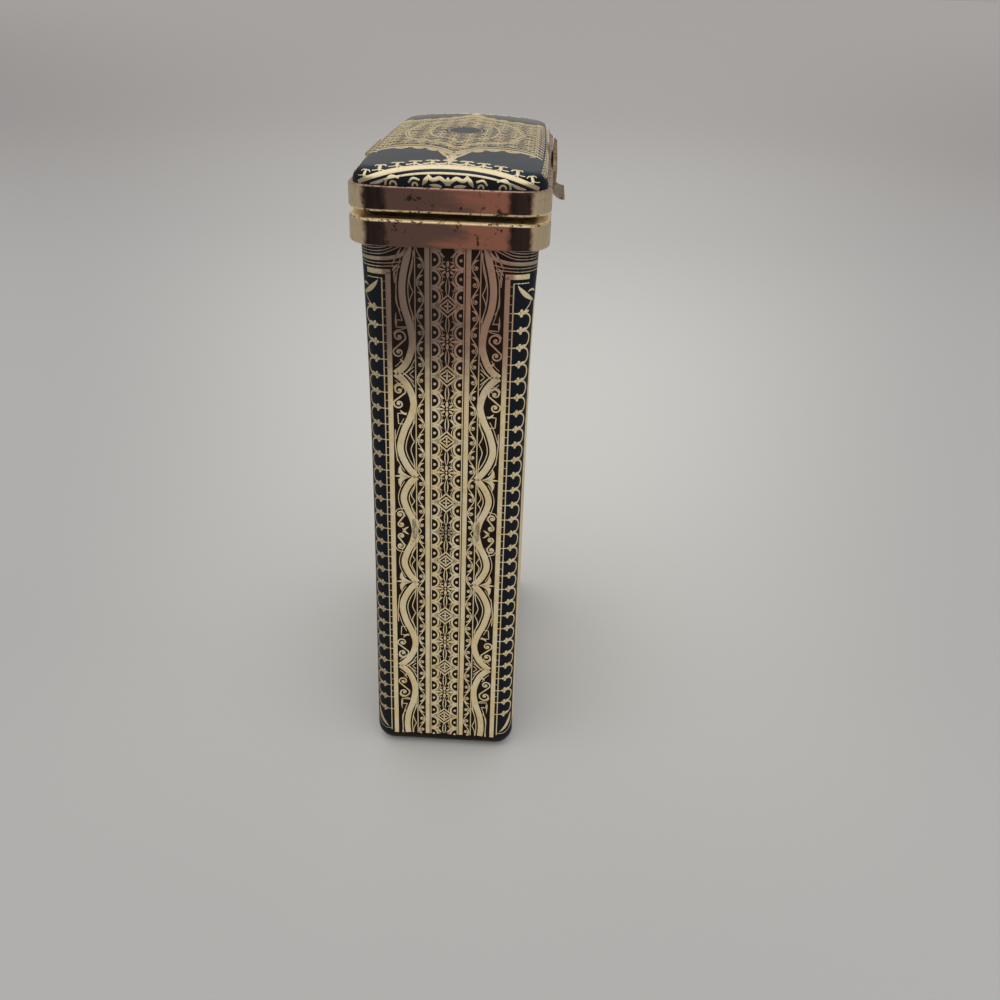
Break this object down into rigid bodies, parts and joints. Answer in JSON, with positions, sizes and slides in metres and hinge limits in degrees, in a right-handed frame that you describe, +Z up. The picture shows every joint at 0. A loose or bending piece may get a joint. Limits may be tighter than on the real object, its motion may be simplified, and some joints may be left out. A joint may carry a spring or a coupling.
{
  "type": "cigarette case",
  "caption": "Tall slim leather-covered case for long cigarettes, with a gilt metal mouth frame, a padded lid hinged along one long side and a spring catch.",
  "frame": {"origin": "centre of the base, on the surface the case stands on", "axes": "+Z up along the height, +Y along the long way of the plan, +X along the narrow way towards the thumb plate; the hinge is on -X"},
  "size_m": [0.0349, 0.0664, 0.109],
  "materials": {
    "gilt_brass": "polished and gilt, with small dark pits",
    "tooled_leather": "very dark blue-green, glazed, densely tooled in gold",
    "board": "pressed board",
    "lining": "fine ribbed cloth",
    "padding": "felted wadding",
    "spring_steel": "blued spring strip"
  },
  "bodies": {
    "case": {"body_band": "gilt_brass", "mouth_lip": "gilt_brass", "lip_rivets": "gilt_brass", "hinge_body_leaf": "gilt_brass", "hinge_body_rivets": "gilt_brass", "hinge_pin": "gilt_brass", "catch_clamp": "gilt_brass", "catch_clamp_rivets": "gilt_brass", "side_leather": "tooled_leather", "base_leather": "tooled_leather", "body_shell": "board", "base_board": "board", "side_lining": "lining", "base_lining": "lining"},
    "lid": {"hinge_lid_leaf": "gilt_brass", "hinge_lid_rivets": "gilt_brass", "lid_shell": "board", "lid_padding": "padding", "lid_leather": "tooled_leather", "lid_lining": "lining", "lid_band": "gilt_brass", "lid_rim": "gilt_brass", "lid_rim_rivets": "gilt_brass", "thumb_plate": "gilt_brass", "thumb_plate_rivets": "gilt_brass"},
    "catch": {"catch_leaf": "spring_steel", "catch_nib": "gilt_brass"}
  },
  "joints": [
    {"name": "lid_hinge", "type": "hinge", "parent": "case", "child": "lid", "pos_m": [-0.0163, 0, 0.101], "axis": [0, -1, 0], "range_deg": [0, 110]},
    {"name": "catch_flex", "type": "hinge", "parent": "case", "child": "catch", "pos_m": [0.0118, 0, 0.0945], "axis": [0, 1, 0], "range_deg": [0, 3.67], "stiffness_Nm_per_rad": 0.2}
  ]
}
